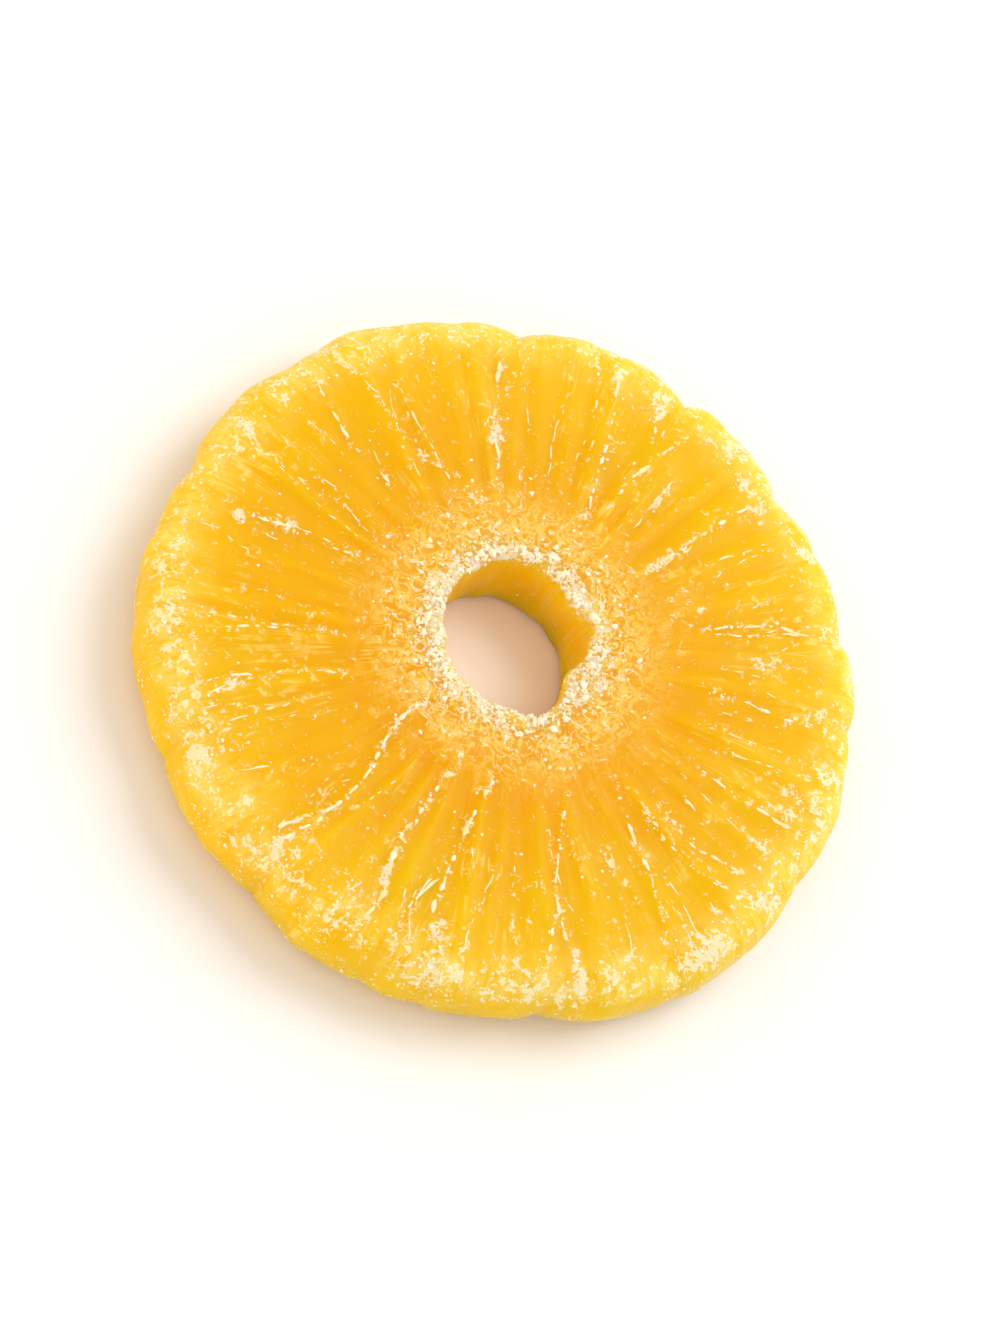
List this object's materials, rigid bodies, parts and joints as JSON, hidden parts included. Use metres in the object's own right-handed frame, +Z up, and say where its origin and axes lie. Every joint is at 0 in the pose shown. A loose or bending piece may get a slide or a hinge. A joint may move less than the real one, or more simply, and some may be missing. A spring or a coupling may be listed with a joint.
{
  "type": "candied pineapple ring",
  "caption": "Candied pineapple ring: a cored, sugar-frosted slice with a lobed rim, lying flat, ready to eat or to decorate a cake.",
  "frame": {"origin": "middle of the footprint, on the surface that the ring lies on", "axes": "+Z up through the hole, out of the frosted side; the lobed outline starts at +X and is counted towards +Y"},
  "size_m": [0.0776, 0.0786, 0.01],
  "materials": {
    "candied_flesh": "translucent yellow-orange candied flesh with white sugar frosting"
  },
  "bodies": {
    "root": {"pineapple_ring": "candied_flesh"}
  },
  "joints": []
}
